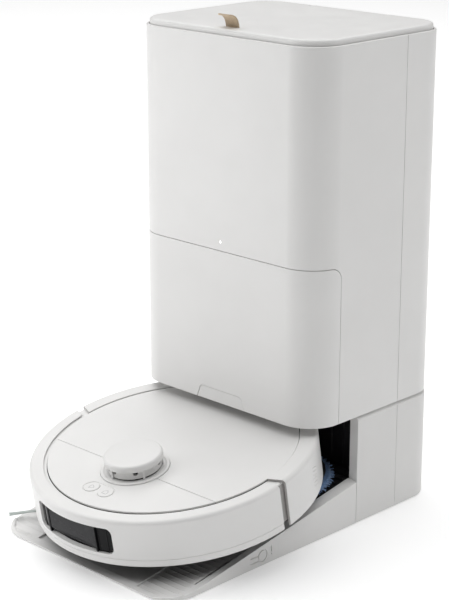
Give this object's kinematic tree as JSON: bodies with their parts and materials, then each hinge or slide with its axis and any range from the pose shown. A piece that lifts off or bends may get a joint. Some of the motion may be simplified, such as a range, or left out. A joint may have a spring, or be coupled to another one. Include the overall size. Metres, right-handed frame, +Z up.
{
  "type": "robot vacuum with dock",
  "caption": "Round robot vacuum and mop parked in its tower station with water tanks, dust bag bay and washing ramp.",
  "frame": {"origin": "on the floor, below the middle of the whole object's box", "axes": "+Z up, -Y is the front where the robot drives out, +X is the object's left as it faces you"},
  "size_m": [0.3498, 0.4944, 0.617],
  "materials": {
    "white_shell": "satin moulded white",
    "white_base": "satin moulded white",
    "dark_plastic": "fine matt black",
    "black_gloss": "gloss black window",
    "grey_plastic": "matt grey",
    "smoke_tank": "smoky clear plastic",
    "rubber": "matt black rubber",
    "mop_cloth": "blue looped microfibre",
    "bristle": "grey-green nylon",
    "leather": "tan leather",
    "paper_bag": "non-woven dust bag",
    "steel": "plated steel",
    "board": "green circuit board",
    "lamp": "clear light guide"
  },
  "bodies": {
    "station": {"bag_collar": "grey_plastic", "base_housing": "white_base", "bay_liner": "dark_plastic", "clean_tank": "smoke_tank", "clean_tank_cap": "grey_plastic", "dirty_tank": "smoke_tank", "dirty_tank_cap": "grey_plastic", "drying_fan": "dark_plastic", "dust_bag": "paper_bag", "dust_duct": "grey_plastic", "fan_housing": "grey_plastic", "foot_front_left": "rubber", "foot_front_right": "rubber", "foot_rear_left": "rubber", "foot_rear_right": "rubber", "lid_hinge_pin": "steel", "power_inlet": "dark_plastic", "ramp": "white_base", "rear_shell": "white_shell", "station_board": "board", "status_light": "lamp", "tank_deck": "white_base", "tower_floor": "white_base", "tower_shell": "white_shell", "washboard_tray": "dark_plastic", "water_pump": "dark_plastic"},
    "lid": {"top_lid": "white_shell", "pull_tab": "leather"},
    "cover": {"front_cover": "white_shell"},
    "cover_latch": {"cover_latch": "white_shell"},
    "dock_pin_left": {"dock_contact_left": "steel"},
    "dock_pin_right": {"dock_contact_right": "steel"},
    "station_impeller": {"fan_impeller": "dark_plastic"},
    "drive_unit": {"wheel_motor_left": "grey_plastic", "wheel_motor_right": "grey_plastic"},
    "robot": {"chassis": "dark_plastic", "front_deck": "white_shell", "rear_cover": "white_shell", "rear_body": "white_shell", "turret_ring": "white_shell", "turret_cap": "white_shell", "brush_guard": "grey_plastic", "battery": "dark_plastic", "dust_bin": "smoke_tank", "camera_module": "dark_plastic"},
    "bumper": {"bumper": "white_shell", "bumper_window": "black_gloss"},
    "lidar": {"lidar_rotor": "white_base"},
    "play_button": {"button_play": "white_shell"},
    "home_button": {"button_home": "white_shell"},
    "wheel_left": {"wheel_left": "rubber"},
    "wheel_right": {"wheel_right": "rubber"},
    "caster": {"caster_fork": "dark_plastic"},
    "caster_wheel": {"caster_wheel": "rubber"},
    "roller_brush": {"main_brush": "rubber"},
    "side_brush": {"side_brush": "bristle"},
    "mop_left": {"mop_plate_left": "grey_plastic", "mop_pad_left": "mop_cloth"},
    "mop_right": {"mop_plate_right": "grey_plastic", "mop_pad_right": "mop_cloth"}
  },
  "joints": [
    {"name": "lid_hinge", "type": "hinge", "parent": "station", "child": "lid", "pos_m": [-0.0035, 0.23842, 0.59775], "axis": [-1, 0, 0], "range_deg": [0, 80]},
    {"name": "cover_pull", "type": "slide", "parent": "station", "child": "cover", "axis": [0, -1, 0], "range_m": [0, 0.06]},
    {"name": "latch_press", "type": "slide", "parent": "cover", "child": "cover_latch", "axis": [0, 1, 0], "range_m": [0, 0.0015], "stiffness_N_per_m": 400},
    {"name": "dock_pin_left_press", "type": "slide", "parent": "station", "child": "dock_pin_left", "axis": [0, 1, 0], "range_m": [0, 0.002], "stiffness_N_per_m": 300},
    {"name": "dock_pin_right_press", "type": "slide", "parent": "station", "child": "dock_pin_right", "axis": [0, 1, 0], "range_m": [0, 0.002], "stiffness_N_per_m": 300},
    {"name": "impeller_spin", "type": "hinge", "parent": "station", "child": "station_impeller", "pos_m": [0.0565, 0.18372, 0.157], "axis": [0, 0, 1], "continuous": true},
    {"name": "robot_drive", "type": "slide", "parent": "station", "child": "drive_unit", "axis": [0, -0.9974, -0.0721], "range_m": [0, 0.42]},
    {"name": "robot_level", "type": "hinge", "parent": "drive_unit", "child": "robot", "pos_m": [0, -0.06755, 0.06557], "axis": [1, 0, 0], "range_deg": [-10, 0]},
    {"name": "bumper_press", "type": "slide", "parent": "robot", "child": "bumper", "axis": [0, 0.9848, 0.1736], "range_m": [0, 0.002], "stiffness_N_per_m": 600},
    {"name": "lidar_spin", "type": "hinge", "parent": "robot", "child": "lidar", "pos_m": [0, -0.13602, 0.09107], "axis": [0, -0.1736, 0.9848], "continuous": true},
    {"name": "play_press", "type": "slide", "parent": "robot", "child": "play_button", "axis": [0, 0.1736, -0.9848], "range_m": [0, 0.001], "stiffness_N_per_m": 400},
    {"name": "home_press", "type": "slide", "parent": "robot", "child": "home_button", "axis": [0, 0.1736, -0.9848], "range_m": [0, 0.001], "stiffness_N_per_m": 400},
    {"name": "wheel_left_spin", "type": "hinge", "parent": "drive_unit", "child": "wheel_left", "pos_m": [-0.115, -0.06755, 0.06557], "axis": [1, 0, 0], "continuous": true},
    {"name": "wheel_right_spin", "type": "hinge", "parent": "drive_unit", "child": "wheel_right", "pos_m": [0.115, -0.06755, 0.06557], "axis": [1, 0, 0], "continuous": true},
    {"name": "caster_swivel", "type": "hinge", "parent": "robot", "child": "caster", "pos_m": [0, -0.18892, 0.03401], "axis": [0, -0.1736, 0.9848], "continuous": true},
    {"name": "caster_roll", "type": "hinge", "parent": "caster", "child": "caster_wheel", "pos_m": [0, -0.18631, 0.01924], "axis": [1, 0, 0], "continuous": true},
    {"name": "roller_brush_spin", "type": "hinge", "parent": "robot", "child": "roller_brush", "pos_m": [0, -0.07659, 0.04773], "axis": [1, 0, 0], "continuous": true},
    {"name": "side_brush_spin", "type": "hinge", "parent": "robot", "child": "side_brush", "pos_m": [-0.108, -0.15964, 0.02344], "axis": [0, -0.1736, 0.9848], "continuous": true},
    {"name": "mop_left_spin", "type": "hinge", "parent": "robot", "child": "mop_left", "pos_m": [-0.07, 0.03971, 0.06194], "axis": [0, -0.1736, 0.9848], "continuous": true},
    {"name": "mop_right_spin", "type": "hinge", "parent": "robot", "child": "mop_right", "pos_m": [0.07, 0.03971, 0.06194], "axis": [0, -0.1736, 0.9848], "continuous": true}
  ],
  "couplings": [
    {"joint": "robot_level", "follows": "robot_drive", "rad_per_m": -0.41555},
    {"joint": "mop_right_spin", "follows": "mop_left_spin", "ratio": -1}
  ]
}
